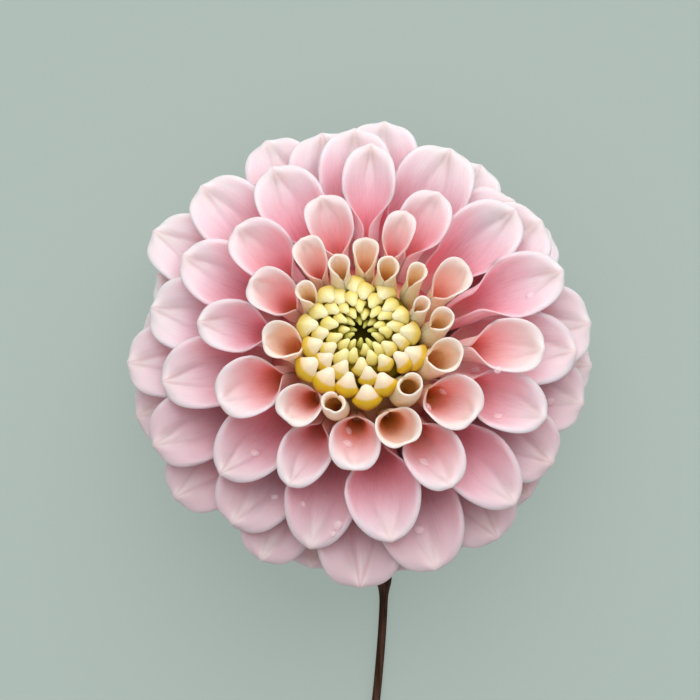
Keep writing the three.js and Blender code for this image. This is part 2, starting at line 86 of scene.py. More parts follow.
# %% Florets that stand a little apart from the rule
# How far each is turned, how much further it reaches, and its width.
ASTRAY = {
    55: (-16, 0.0, 0.95), 59: (-7, 0.2, 1.25), 62: (-4, 2.2, 1.15), 63: (-1, -0.7, 1.1),
    66: (-6, 0.2, 0.88), 67: (-2, -2.6, 0.78), 68: (0, -0.6, 0.78),
    69: (-6, 1.6, 1.18), 70: (-1, -2.0, 0.86), 71: (0, -2.0, 1.0), 72: (4, 2.1, 0.96),
    73: (6, 0.9, 0.9), 74: (-4, -3.6, 0.74), 75: (4, -3.0, 0.76), 76: (-4, 0.5, 1.0),
    77: (7, -2.3, 0.64), 78: (-8, -5.5, 0.84), 79: (3, -3.6, 0.78), 80: (-9, 5.0, 0.92),
    81: (4, -3.6, 0.82), 82: (4, -2.0, 0.88), 83: (-1.5, 1.4, 0.8), 84: (21, -1.3, 0.8),
    85: (-2, -2.0, 0.92), 86: (5, -3.6, 0.64), 87: (-2, 2.7, 0.9), 88: (9, 3.0, 0.8),
    89: (-4, -6.5, 0.7), 90: (0, 1.9, 0.9), 91: (2, 2.6, 0.9), 92: (2, 0.0, 0.95), 93: (9, -3.0, 0.95),
    94: (-2, 2.9, 0.9), 95: (-12, -0.8, 0.95), 96: (-1, -2.0, 0.93), 97: (4, -0.8, 0.9),
    98: (5, 0.0, 0.93), 99: (0, 2.0, 1.0), 100: (-1, -4.6, 0.92), 101: (-2, 2.9, 1.0),
    102: (5, 0.0, 1.0), 103: (3, 2.3, 0.97), 104: (6, -0.5, 1.0), 106: (-2, 0.0, 1.0),
    107: (2, -3.3, 1.0), 108: (1, 2.7, 1.0), 110: (-5, 0.7, 1.0), 113: (0, -2.6, 1.0),
    114: (5, 2.4, 1.0), 116: (2, -1.5, 1.0), 117: (3, 1.6, 1.0), 119: (0, -1.6, 1.0),
    120: (0, -3.0, 1.0), 121: (-8, 2.0, 1.0), 123: (0, -2.5, 1.0), 125: (0, -2.5, 1.0),
    126: (0, -3.0, 1.0), 130: (0, -3.0, 1.0), 133: (0, -4.0, 1.0), 134: (0, -3.0, 1.0),
}
print(len(ASTRAY), "florets stand apart from the rule")


# %% Draws and soft steps
def draw(i, k):
    """A number from -1 to 1 for floret i, the same each time."""
    a = abs(math.sin(i * 12.9898 + k * 78.233) * 43758.5453)
    return 2 * (a - math.floor(a)) - 1


def eased(x, start, end):
    """A soft step: 0 up to start, 1 from end on."""
    t = np.clip((x - start) / (end - start), 0, 1)
    return t * t * (3 - 2 * t)


def bump(x, width):
    """A soft bump of height 1 at x = 0."""
    return np.exp(-((x / width) ** 2))


def rounded(x):
    """A quarter of a circle: it rises steeply from 0 at x = 0, and is 1 from x = 1 on."""
    return np.sqrt(1 - (1 - np.clip(x, 0, 1)) ** 2)


print("draws of floret 60:", [round(draw(60, k), 2) for k in range(1, 5)])


# %% A floret of any age
def hermite(t, step, before, after, slope_before, slope_after):
    """The smooth curve between two rows that are a step apart, at share t of the way."""
    curve = (2 * t**3 - 3 * t**2 + 1) * before + (t**3 - 2 * t**2 + t) * step * slope_before
    return curve + (3 * t**2 - 2 * t**3) * after + (t**3 - t**2) * step * slope_after


def growth(age):
    """The table's row at any age, on a smooth curve through its rows."""
    ages = GROWTH[:, 0]
    last = len(ages) - 1
    x = min(max(age, ages[0]), ages[-1])
    k = min(max(int(np.searchsorted(ages, x)) - 1, 0), last - 1)

    def slope(j):
        a, b = GROWTH[max(j - 1, 0)], GROWTH[min(j + 1, last)]
        return (b - a) / (b[0] - a[0])

    step = ages[k + 1] - ages[k]
    row = hermite((x - ages[k]) / step, step, GROWTH[k], GROWTH[k + 1], slope(k), slope(k + 1))
    return row[1:]


def azimuth(i):
    """Where floret i stands round the bloom's axis, in radians."""
    return math.radians(FIRST_TURN + TURN * i)


def lower_side(turn):
    """0 at the bloom's upper side, 1 at the lower side, where the stem is."""
    return 0.5 - 0.5 * math.sin(turn)


print("a floret of age 90 reaches", round(growth(90)[0], 1), "mm")

# %% Which florets are still closed
# About 55 florets are closed, more on the lower side and fewer on the upper. Three others are late.
BUDS = 55
BUD_FIRST = 1
LAG = 5.5
LATE = (56, 60, 64)
QUILL_LAST = 71
SPOON_LAST = 90
BLADE_LAST = 121
FLORET_LAST = 153


def is_closed(i):
    """The florets on the lower side of the bloom open a little later, and so do a few others."""
    return i in LATE or i + LAG * math.sin(azimuth(i)) < BUDS + 2.5


closed = [i for i in range(BUD_FIRST, QUILL_LAST + 1) if is_closed(i)]
rolled = [i for i in range(QUILL_LAST + 1) if not is_closed(i)]
print(len(closed), "closed florets and", len(rolled), "quills")

# %% [markdown]
# ## From the bloom's frame to the table's
# The bloom lies on its back, its face up and leaning 13 degrees away from the stem. The lowest florets
# touch the table, and stiff ones would hold the bloom up or go through it. Real ones bend flat, so every
# floret is lowered no further than the table lets it, with a soft start.

# %% Place and press
BLOOM_CENTRE = np.array([0.12, 43.84, 25.0])
BLOOM_TILT = math.radians(13)
PRESS_FROM = 2.2
PRESS_TO = 0.43


def press(z):
    """Heights near the table, eased so that nothing goes under it."""
    room = 2 * (PRESS_FROM - PRESS_TO)
    u = np.clip((PRESS_FROM - z) / room, 0, 1)
    return np.where(u > 0, PRESS_FROM - room * (u - u * u / 2), z)


def place(x, y, z):
    """Points of the bloom's frame in the table's frame, in millimetres."""
    c, s = math.cos(BLOOM_TILT), math.sin(BLOOM_TILT)
    return np.stack([x, y * c + z * s, -y * s + z * c], -1) + BLOOM_CENTRE


def around(rho, across, z, turn):
    """Points at a distance from the bloom's axis, and beside the line that stands at that turn."""
    x = rho * np.cos(turn) - across * np.sin(turn)
    y = rho * np.sin(turn) + across * np.cos(turn)
    return place(x, y, z)


print("the lowest midrib lies", round(float(press(-10.0)), 2), "mm above the table")


# %% A rib and what stands on it
def bezier(rib, s):
    """A cubic curve in the plane of the axis: where it is at s, and its direction."""
    p0, p1, p2, p3 = (np.array(p, float) for p in rib)
    s = np.asarray(s)[..., None]
    r = 1 - s
    at = r**3 * p0 + 3 * r**2 * s * p1 + 3 * r * s**2 * p2 + s**3 * p3
    way = r**2 * (p1 - p0) + 2 * r * s * (p2 - p1) + s**2 * (p3 - p2)
    return at, way / np.linalg.norm(way, axis=-1, keepdims=True)


def on_rib(rib, s, up, across, turn):
    """Points above and beside a rib that stands at that turn round the bloom's axis."""
    at, way = bezier(rib, s)
    return around(at[:, 0] - way[:, 1] * up, across, at[:, 1] + way[:, 0] * up, turn)


level = on_rib([(0, 0), (1, 0), (2, 0), (3, 0)], np.array([1.0]), 0, 0, 0)[0] - BLOOM_CENTRE
print("a level rib of 3 mm ends at", [round(float(c), 2) for c in level])

# %% [markdown]
# ## One slab for every petal
# A petal is thin, but it isn't a sheet: its margin is rounded and catches the light as a bright line. A
# sheet with a Solidify modifier would have a sharp margin. So the start is a grid that is solidified into a
# closed slab, with one more line of points round its rim. It is kept as a template. Its x runs across the
# petal, its y along it, and its z says which face a point is on.


# %% The slab
def mesh_of(bm, name):
    """The finished bmesh as a mesh."""
    mesh = bpy.data.meshes.new(name)
    bm.to_mesh(mesh)
    bm.free()
    return mesh


def upright_edges(bm):
    """The edges that join the lower side to the upper one."""
    return [e for e in bm.edges if abs(e.verts[0].co.z - e.verts[1].co.z) > 1]


def make_slab(columns, rows):
    """A closed slab from -1 to 1 each way, with a line of points round the middle of its rim."""
    bm = bmesh.new()
    bmesh.ops.create_grid(bm, x_segments=columns, y_segments=rows, size=1)
    bmesh.ops.solidify(bm, geom=bm.faces[:], thickness=2)
    middle = sum(v.co.z for v in bm.verts) / len(bm.verts)
    for v in bm.verts:
        v.co.z = 1 if v.co.z > middle else -1
    bmesh.ops.subdivide_edges(bm, edges=upright_edges(bm), cuts=1)
    bmesh.ops.recalc_face_normals(bm, faces=bm.faces[:])
    return mesh_of(bm, "slab")


slab = make_slab(30, 36)
print("the slab has", len(slab.vertices), "points")


# %% Fill and finish a mesh
def points_of(mesh):
    """The mesh's points, one row each."""
    co = np.empty(3 * len(mesh.vertices))
    mesh.vertices.foreach_get("co", co)
    return co.reshape(-1, 3)


def finished(name, mesh):
    """The mesh as a smooth object whose faces point outwards, at the origin."""
    bm = bmesh.new()
    bm.from_mesh(mesh)
    bmesh.ops.recalc_face_normals(bm, faces=bm.faces[:])
    bm.to_mesh(mesh)
    bm.free()
    mesh.polygons.foreach_set("use_smooth", [True] * len(mesh.polygons))
    mesh.update()
    thing = bpy.data.objects.new(name, mesh)
    bpy.context.scene.collection.objects.link(thing)
    print(name, len(mesh.polygons), "faces")
    return thing


def gather(name, template, shapes):
    """One object from copies of a template. Each shape gives its points in millimetres and its looks."""
    bm = bmesh.new()
    for _ in shapes:
        bm.from_mesh(template)
    mesh = mesh_of(bm, name)
    points = np.concatenate([points for points, _ in shapes])
    mesh.vertices.foreach_set("co", (points * MM).ravel())
    for key in shapes[0][1]:
        values = [np.broadcast_to(looks[key], len(points)) for points, looks in shapes]
        layer = mesh.attributes.new(key, "FLOAT", "POINT")
        layer.data.foreach_set("value", np.concatenate(values).astype(np.float32))
    return finished(name, mesh)


slab_points = points_of(slab)
print("the slab's points run from", slab_points.min(0), "to", slab_points.max(0))

# %% [markdown]
# ## Bending the slab into a floret
# The midrib is a curve that rises from the root and falls outwards. Across it the floret is an arc of a
# tube: nearly closed at the foot, opening at the mouth. On top of that come the marks of a real petal: a
# margin that turns outwards, two folds that meet at the tip with a flatter panel between them, and a small
# pinched point. Curves and deform modifiers could bend each floret too, but a formula can be the same for
# all ages.

# %% Measures of a floret
TUBE_LAST = 84
# A floret with a smaller half width than this has weaker folds.
FULL_WIDTH = 8


def measures(i):
    """The midrib, the turns and the widths of floret i."""
    reach, height, root, foot, rise, fall, tube, mouth, opens, rounds, flare = growth(i)
    side = math.sin(azimuth(i))
    astray, further, stout = ASTRAY.get(i, (0, 0, 1))
    turn = azimuth(i) + math.radians(astray + 1.5 * draw(i, 1))
    reach = reach * (1 + 0.015 * draw(i, 2)) + further
    height += 0.25 * draw(i, 3)
    rise = math.radians(rise + 2 * draw(i, 4))
    # The rolled ones lean up the picture. Those on the lower side lean in towards the eye, and their mouths
    # are cut straighter.
    rolled_up = 1 - eased(i, 68, 82)
    straight = max(-side, 0) * (1 - eased(i, 67, 72))
    lean = (18 if side > 0 else 26) * side * rolled_up - 12 * straight
    opens += (0.95 - opens) * straight
    rounds += (0.985 - rounds) * straight
    mouth += (176 - mouth) * straight
    fall = math.radians(fall + 4 * draw(i, 5) + lean)
    mouth = math.radians(mouth * (1 + 0.05 * draw(i, 6)))
    # Young florets are a little wider on the lower side.
    late = 1 - 0.16 * side * (1 - eased(i, 76, 106))
    wide = tube * late * mouth * (1 + 0.04 * draw(i, 7)) * stout
    length = math.hypot(reach - root, height - foot) * 1.03
    rib = (
        (root, foot),
        (root + 0.4 * length * math.sin(rise), foot + 0.4 * length * math.cos(rise)),
        (reach - 0.38 * length * math.sin(fall), height - 0.38 * length * math.cos(fall)),
        (reach, height),
    )
    return SimpleNamespace(
        age=i,
        rib=rib,
        turn=turn,
        swing=-math.radians(20) * math.cos(turn) * rolled_up,
        skew=math.radians(4 * draw(i, 8)),
        wide=wide,
        length=length,
        grown_wide=min(wide / FULL_WIDTH, 1),
        mouth=mouth,
        shut=math.radians(181 - 135 * eased(i, TUBE_LAST, TUBE_LAST + 22)),
        opens=opens,
        rounds=rounds,
        flare=flare,
    )


print("floret 90 is", round(2 * measures(90).wide, 1), "mm wide, measured round its arc")


# %% Outline of a floret
def outline(floret, sideways, upward, start):
    """Where points of the slab lie along the floret, where it ends there, and half its width there."""
    age = floret.age
    # The middle reaches 1 and the sides end at first. Tips of middle age are pointed, older ones are broad.
    point = eased(age, 74, 90) * (1 - 0.85 * eased(age, 96, 108)) * (0.65 - 0.35 * math.sin(floret.turn))
    broad = eased(age, 94, 106)
    first = floret.rounds - 0.05 * point
    aside = np.clip(np.abs(sideways), 0, 1) ** (2.3 - 0.5 * point + 0.7 * broad)
    end = first + (1 - first) * (1 - aside) ** (0.55 + 0.07 * point - 0.06 * broad)
    along = start + (end - start) * upward + 0.008 * upward**8 * bump(sideways, 0.09)
    # The youngest widen early and have a waist below the mouth.
    early = 1 - eased(age, 62, 76)
    ample = 0.7 * eased(age, 78, 86)
    widens = 0.2 - 0.12 * early - 0.05 * ample
    grown = eased(along, widens, floret.opens + 0.12 - 0.32 * early - 0.19 * ample)
    foot = 0.22 + 0.22 * eased(age, 70, 84)
    half = floret.wide * (foot + (1 - foot) * grown) * (1 + 0.4 * early * bump(along - 0.68, 0.16))
    return along, end, half


ends = outline(measures(100), np.array([0.0, 1.0]), np.array([1.0, 1.0]), 0.2)[0]
print("floret 100 ends at", ends.round(2), "of its length, in the middle and at the side")

# %% Relief of a floret
THICK = 0.5
ROUND_MARGIN = 0.45
LIP_WIDTH = 1.7
FOLD_HEIGHT = 1.15
CREASE_DEPTH = 0.5
WAVE_HEIGHT = 0.09
PINCH_HEIGHT = 0.9


def relief(floret, along, past, across, here, edge, face):
    """How far points stand off the middle surface, how strong the folds are there, and where they lie."""
    age = floret.age
    # Thicker at the foot, thinner towards a rounded margin that turns outwards.
    thick = THICK * (1 + 0.5 * (1 - eased(along, 0, 0.5)))
    is_open = eased(along, floret.opens - 0.1, floret.opens + 0.02)
    off = face * thick / 2 * (1 - 0.55 * is_open * (1 - rounded(edge / ROUND_MARGIN)))
    lip = (0.25 + 0.35 * eased(age, 60, 90)) * (1 - eased(floret.mouth, 2.6, 2.9))
    lip = lip * eased(along, floret.opens, floret.opens + 0.25)
    off = off - lip * np.clip(1 - edge / LIP_WIDTH, 0, 1) ** 2
    # The folds rise towards the tip, and a crease runs along the inner side of each.
    size = np.clip(here / floret.wide, 0, 1) * floret.grown_wide
    fade = eased(along, floret.rounds - 0.12, floret.rounds + 0.18)
    aside = np.abs(across)
    fold = 0.25 + 0.07 * draw(age, 12) + 0.06 * draw(age, 13) * np.sign(across)
    fold = fold * np.clip(1.25 - past, 0, 1)
    off = off + FOLD_HEIGHT * fade * eased(aside, 0.1, 0.55) * (1 - aside) * size
    off = off - CREASE_DEPTH * fade * bump(aside - fold, 0.075) * size
    # Two crossing waves keep the surface from being too smooth.
    wave = np.sin(5 * across + 6 * along + 3 * draw(age, 9))
    wave = wave + np.sin(3.1 * across - 9 * along + 3 * draw(age, 10))
    off = off + WAVE_HEIGHT * wave * eased(along, 0.45, 0.75) * size
    return off, fade, fold


print("a petal is", THICK, "mm thick at its tip and", 1.5 * THICK, "mm at its foot")


# %% Bend the slab
# For the material, floret 52 has age 0 and floret 152 has age 1.
AGE_ZERO = 52


def on_arc(floret, along, radius, angle, off, lift):
    """Points at an angle round the floret's arc, off its middle surface and lifted from its rib."""
    up = radius * (1 - np.cos(angle)) + off * np.cos(angle) + lift
    across = (radius - off) * np.sin(angle)
    lean = floret.skew * eased(along, 0, 1)
    up, across = up * np.cos(lean) - across * np.sin(lean), up * np.sin(lean) + across * np.cos(lean)
    return on_rib(floret.rib, along, up, across, floret.turn + floret.swing * (1 - along))


def bend(slab_xyz, i, start):
    """The slab's points bent to floret i, and the looks that its material reads."""
    floret = measures(i)
    # The slab's lines are moved closer together near the margin, where the form changes most.
    sideways = slab_xyz[:, 0] * (1.22 - 0.22 * slab_xyz[:, 0] ** 2)
    upward = 1 - (1 - (slab_xyz[:, 1] + 1) / 2) ** 1.25
    face = slab_xyz[:, 2]
    along, end, half = outline(floret, sideways, upward, start)
    # The arc opens from the tube's span to the mouth's, and flares past the widest place.
    past = np.clip((along - floret.rounds) / (1 - floret.rounds), 0, 1)
    span = floret.shut + (floret.mouth - floret.shut) * eased(along, floret.opens, floret.rounds)
    radius = half / span * (1 + floret.flare * past)
    angle = sideways * half / radius
    # How wide the petal still is there, and how far a point is from the margin.
    narrowed = floret.wide * np.sqrt(np.clip(1 - past**2.2, 0.0004, 1))
    here = np.where(along > floret.rounds, narrowed, half)
    across = np.clip(sideways * half / here, -1, 1)
    to_side = half * (1 - np.clip(np.abs(sideways), 0, 1)) + 0.001
    to_end = floret.length * (end - start) * (1 - upward) + 0.001
    edge = to_side * to_end / np.hypot(to_side, to_end)
    off, fade, fold = relief(floret, along, past, across, here, edge, face)
    pinch = PINCH_HEIGHT * eased(i, 62, 74) * floret.grown_wide
    pinch = pinch * eased(along, 0.9, 1) * bump(sideways, 0.2)
    points = on_arc(floret, along, radius, angle, off, pinch)
    middle = on_arc(floret, along, radius, angle, 0, 0)
    points[:, 2] += press(middle[:, 2]) - middle[:, 2]
    looks = {
        "along": along,
        "across": across,
        "edge": edge,
        "fade": fade,
        "fold": fold,
        "inside": face,
        "age": (i - AGE_ZERO) / 100,
        "low": lower_side(floret.turn),
        "luck": 0.5 + 0.5 * draw(i, 11),
    }
    return points, looks


lowest = [round(float(bend(slab_points, i, 0.2)[0][:, 2].min()), 1) for i in (110, 150)]
print("floret 110 comes down to", lowest[0], "mm above the table, and floret 150 to", lowest[1])

# %% [markdown]
# ## Petal tissue
# A petal is a wet, pale skin over a juicy inside. Light goes in, spreads and comes out pinker. A plain
# coloured surface looks like plastic beside that, so the shader has subsurface scattering and a satin
# gloss. The nodes are many, so short helpers add them: each gives back a socket, which the next one takes.


# %% Node helpers
def srgb(r, g, b):
    """A colour given in screen values of 0 to 255, in Blender's linear values."""
    linear = [c / 255 / 12.92 if c <= 10 else ((c / 255 + 0.055) / 1.055) ** 2.4 for c in (r, g, b)]
    return (*linear, 1)


class Finish:
    """A material with one Principled shader, and short ways to add nodes to it."""

    def __init__(self, name, **sockets):
        self.material = bpy.data.materials.new(name)
        self.material.use_nodes = True
        self.tree = self.material.node_tree
        self.shader = self.tree.nodes["Principled BSDF"]
        for socket, value in sockets.items():
            self.shader.inputs[socket.replace("_", " ")].default_value = value

    def node(self, kind, *links, **settings):
        node = self.tree.nodes.new("ShaderNode" + kind)
        for key, value in settings.items():
            setattr(node, key, value)
        for k, value in enumerate(links):
            self.feed(value, node.inputs[k])
        return node

    def feed(self, value, socket):
        if isinstance(value, bpy.types.NodeSocket):
            self.tree.links.new(value, socket)
        elif value is not None:
            socket.default_value = value

    def read(self, name):
        return self.node("Attribute", attribute_name=name).outputs["Fac"]

    def place(self):
        return self.node("TexCoord").outputs["Object"]

    def math(self, operation, a, b=None, c=None):
        return self.node("Math", a, b, c, operation=operation).outputs[0]

    def product(self, first, *others):
        """All the values multiplied."""
        for other in others:
            first = self.math("MULTIPLY", first, other)
        return first

    def between(self, value, low, high, first=0, last=1):
        """value from low to high, eased, as first to last."""
        node = self.node("MapRange", value, low, high, first, last, interpolation_type="SMOOTHSTEP")
        return node.outputs[0]

    def ramp(self, value, stops):
        node = self.node("ValToRGB", value)
        marks = node.color_ramp.elements
        marks[0].position, marks[0].color = stops[0][0], srgb(*stops[0][1])
        marks[1].position, marks[1].color = stops[-1][0], srgb(*stops[-1][1])
        for position, colour in stops[1:-1]:
            marks.new(position).color = srgb(*colour)
        return node.outputs[0]

    def mix(self, amount, a, b, blend="MIX"):
        node = self.tree.nodes.new("ShaderNodeMix")
        node.data_type = "RGBA"
        node.blend_type = blend
        for value, socket in ((amount, 0), (a, 6), (b, 7)):
            self.feed(value, node.inputs[socket])
        return node.outputs[2]

    def coat(self, colour, strength=None, distance=None, height=None):
        """The shader's colour and, where a height is given, its small bumps. Gives back the material."""
        self.feed(colour, self.shader.inputs["Base Color"])
        if height:
            bumps = self.node("Bump", strength, distance, None, height)
            self.feed(bumps.outputs[0], self.shader.inputs["Normal"])
        return self.material


print("mid grey on the screen is", round(srgb(128, 128, 128)[0], 3), "in linear values")

# %% [markdown]
# ## The colours of a petal
# The colour follows the growth: deep coral at the foot, pink in the throat, nearly white at the margin.
# Painted light lies over that: a highlight on the margin, and shade in the creases and on the lower side.
# Young quills are peach instead of pink. A painted picture would have to be wrapped on every floret, so the
# colours come from ramps instead, which read how far along the petal a point is. Each vertex carries that
# as an attribute, with its floret's age.


# %% Inner and outer face
QUILL_PEACH = [
    (0.40, (226, 180, 84)),
    (0.66, (244, 202, 132)),
    (0.88, (246, 208, 168)),
    (1.0, (248, 216, 198)),
]
SPOON_CORAL = [
    (0.30, (178, 118, 36)),
    (0.48, (226, 162, 76)),
    (0.64, (242, 150, 142)),
    (0.82, (249, 190, 188)),
    (1.0, (242, 218, 210)),
]
# The first stop is paler than the throat: painted light that lifts the shade in the deep gaps between the
# blades' feet.
OPEN_PINK = [
    (0.30, (255, 196, 186)),
    (0.46, (248, 150, 160)),
    (0.60, (248, 156, 170)),
    (0.74, (246, 184, 196)),
    (0.88, (242, 208, 216)),
    (1.0, (232, 212, 214)),
]
YOUNG_BACK = [(0.45, (244, 210, 130)), (0.8, (246, 216, 174)), (1.0, (248, 224, 206))]
GROWN_BACK = [(0.35, (236, 176, 190)), (0.7, (246, 206, 216)), (1.0, (248, 226, 230))]


def inner_face(f, reach, age):
    """Peach in the quills, coral in the spoons, pink in the blades."""
    grown = f.mix(f.between(age, 0.20, 0.38), f.ramp(reach, SPOON_CORAL), f.ramp(reach, OPEN_PINK))
    return f.mix(f.between(age, 0.14, 0.24), f.ramp(reach, QUILL_PEACH), grown)


def outer_face(f, reach, age):
    """Golden in the young florets, pale pink in the others."""
    return f.mix(f.between(age, 0.12, 0.32), f.ramp(reach, YOUNG_BACK), f.ramp(reach, GROWN_BACK))


print("a blade goes through", len(OPEN_PINK), "colours from its foot to its tip")

# %% Margin highlight and lower side shade
MARGIN_WIDTH = 1.8


def with_margin_and_highlight(f, colour, along, age, low):
    """A pale margin, partly own colour and partly a painted highlight where the turned margin meets the
    light: cream when young, pinkish white later, stronger on the lower side.
    """
    near = f.between(f.read("edge"), MARGIN_WIDTH, 0.1)
    by_age = f.between(age, 0.10, 0.5, 0.3, 0.45)
    highlight_by_side = f.math("MULTIPLY_ADD", low, 0.3, 0.7)
    pale = f.mix(f.between(age, 0.16, 0.28), srgb(250, 228, 212), srgb(252, 236, 240))
    return f.mix(f.product(near, f.between(along, 0.45, 0.8), by_age, highlight_by_side), colour, pale)


def with_lower_side_tint_and_shade(f, colour, along, age, low):
    """On the lower side the young ones are tan in the throat, and the old ones are painted darker and
    mauver, as painted shade.
    """
    throat = f.product(f.between(along, 0.85, 0.45), f.between(age, 0.42, 0.26), low)
    colour = f.mix(throat, colour, srgb(240, 230, 168), "MULTIPLY")
    # Painted shade: the old florets on the lower side are darkened and turned mauver.
    lower_shade = f.product(low, f.between(age, 0.25, 0.6, 0, 0.9))
    colour = f.mix(lower_shade, colour, srgb(208, 186, 190), "MULTIPLY")
    mauve = f.product(low, f.between(age, 0.36, 0.58, 0, 0.6))
    return f.mix(mauve, colour, srgb(216, 196, 203))


print("the margin pales over", MARGIN_WIDTH, "mm")

# %% Crease shade and veins
CREASE_SHADE_REACH = 0.11


def with_crease_shade(f, colour, along, across, age, luck, low):
    """Painted shade of the folds: a greyer panel towards the tip, and a thin mauve line along the crease on
    each side of it, stronger on the lower side.
    """
    aside = f.math("ABSOLUTE", across)
    grown = f.between(age, 0.22, 0.4)
    panel = f.product(f.between(along, 0.78, 1.0), f.between(aside, 0.42, 0.12), grown, 0.6)
    colour = f.mix(panel, colour, srgb(226, 208, 204))
    beside = f.math("ABSOLUTE", f.math("SUBTRACT", aside, f.read("fold")))
    line = f.product(f.between(beside, CREASE_SHADE_REACH, 0.0), f.read("fade"))
    strength = f.product(grown, f.between(luck, -0.4, 1.0), f.math("MULTIPLY_ADD", low, 0.25, 0.22))
    return f.mix(f.product(line, strength), colour, srgb(190, 134, 152))


def vein_noise(f, along, across, luck):
    """Noise that is stretched along the petal, and different for each floret."""
    where = f.node("CombineXYZ", f.product(across, 9), f.product(along, 2.5), f.product(luck, 40))
    return f.node("TexNoise", where.outputs[0]).outputs[0]


def with_veins(f, colour, along, streaks):
    """Deeper pink veins, stronger towards the foot."""
    veins = f.product(f.between(streaks, 0.42, 0.72), f.between(along, 1.0, 0.55, 0.05, 0.35))
    return f.mix(veins, colour, srgb(214, 110, 136))


print("a crease shows up to", CREASE_SHADE_REACH, "of the petal's half width to each side")


# %% Petal finish
def petal_finish():
    """The two faces, and over them the margin with its painted highlight, the lower side's painted shade,
    the painted crease shade and the veins.
    """
    f = Finish("petal", Roughness=0.5, Subsurface_Weight=0.8, Subsurface_Scale=0.0022)
    f.shader.inputs["Subsurface Radius"].default_value = (1, 0.6, 0.55)
    along, across, age, luck = f.read("along"), f.read("across"), f.read("age"), f.read("luck")
    low = f.between(f.read("low"), 0.3, 1.0)
    reach = f.math("ADD", along, f.math("MULTIPLY_ADD", luck, 0.06, -0.03))
    inside = f.between(f.read("inside"), -0.3, 0.3)
    colour = f.mix(inside, outer_face(f, reach, age), inner_face(f, reach, age))
    colour = with_margin_and_highlight(f, colour, along, age, low)
    colour = with_lower_side_tint_and_shade(f, colour, along, age, low)
    colour = with_crease_shade(f, colour, along, across, age, luck, low)
    streaks = vein_noise(f, along, across, luck)
    return f.coat(with_veins(f, colour, along, streaks), 0.25, 0.0002, streaks)


petal = petal_finish()
print("the petal finish has", len(petal.node_tree.nodes), "nodes")

# %% [markdown]
# ## The florets
# Four pieces, from the inside out: the peach quills, the coral spoons, the pink blades that make the
# outline, and the ones behind that lie against the table. Each floret could be an object of its own, and
# one mesh could hold them all. One piece a ring is between the two: few pieces, and none too heavy.

# %% Grow the florets
QUILL_START = 0.12
FLORET_START = 0.2
rings = {
    "quill_florets": rolled,
    "spoons": range(QUILL_LAST + 1, SPOON_LAST + 1),
    "blades": range(SPOON_LAST + 1, BLADE_LAST + 1),
    "back_blades": range(BLADE_LAST + 1, FLORET_LAST + 1),
}
made = {}
for name, ages in rings.items():
    start = QUILL_START if name == "quill_florets" else FLORET_START
    made[name] = gather(name, slab, [bend(slab_points, i, start) for i in ages])
    made[name].data.materials.append(petal)

# %% [markdown]
# ## The heart
# All florets grow from a solid head. Little of it shows, in the gaps between the feet of the petals, and it
# keeps one from seeing through the bloom. It is a profile that is spun round the axis, because a head is
# round and a profile is easy to change.


# %% Spin the heart
SPIN_SIDES = 48


def spun(name, outline_points):
    """A round body from an outline of distance and height, in the bloom's frame."""
    bm = bmesh.new()
    verts = [bm.verts.new((rho, 0, z)) for rho, z in outline_points]
    edges = [bm.edges.new(pair) for pair in zip(verts, verts[1:])]
    bmesh.ops.spin(
        bm,
        geom=verts + edges,
        cent=(0, 0, 0),
        axis=(0, 0, 1),
        angle=2 * math.pi,
        steps=SPIN_SIDES,
        use_merge=True,
    )
    bmesh.ops.remove_doubles(bm, verts=bm.verts[:], dist=1e-4)
    mesh = mesh_of(bm, name)
    x, y, z = points_of(mesh).T
    mesh.vertices.foreach_set("co", (place(x, y, z) * MM).ravel())
    return finished(name, mesh)


def heart_finish():
    """Deep coral low down, and tan towards the top."""
    f = Finish("heart", Roughness=0.7)
    height = f.node("SeparateXYZ", f.place()).outputs[2]
    stops = [(0, (172, 66, 80)), (0.5, (192, 104, 92)), (1, (214, 164, 120))]
    return f.coat(f.ramp(f.between(height, 0.022, 0.042), stops))


HEART = [(0, -15), (10.8, -15.2), (14.5, -14.6), (18, -10), (19.6, -3)]
HEART += [(18.8, 3.5), (16.6, 8.2), (14.4, 12.2), (11.8, 15), (0, 16)]
heart = spun("heart", HEART)
heart.data.materials.append(heart_finish())

# %% [markdown]
# ## The closed florets
# Round the eye the florets are still shut: plump, waxy scales that lean in over each other, yellow at the
# side and cream where the light has reached them. Rolled petals of this size would be all edge. So each is
# a ball stretched along its own curved midrib, with a body, a cap and a keel on its back.

# %% Closed floret
CAP_FROM = 0.5


def bud_measures(i):
    """The turn, the width and the midrib of closed floret i."""
    share = (i + 0.6) / BUDS
    turn = azimuth(i) + math.radians(4.5 * draw(i, 1))
    low = max(-math.sin(turn), 0)
    far = (0.75 + 0.13 * low) * (0.9 + 10.2 * share**1.1) + 0.3 * share * draw(i, 2)
    cap_long = (1.6 + (1.2 + 0.3 * low) * share) * (1 + 0.16 * draw(i, 3))
    high = 23.4 - 2.4 * max(1 - share / 0.45, 0) ** 2 - 0.6 * share**3 + 0.5 * share * draw(i, 4)
    wide = (0.38 + 0.2 * (far + cap_long)) * (1 + 0.06 * draw(i, 5))
    tall = 3.6 + 2.4 * share
    rib = (
        (far + 0.45 * cap_long, high - tall),
        (far + 1.75 * cap_long, high - 0.42 * tall),
        (far + 0.8 * cap_long, high + (0.38 - 0.3 * eased(share, 0, 0.6)) * cap_long),
        (far, high),
    )
    return turn, wide, rib


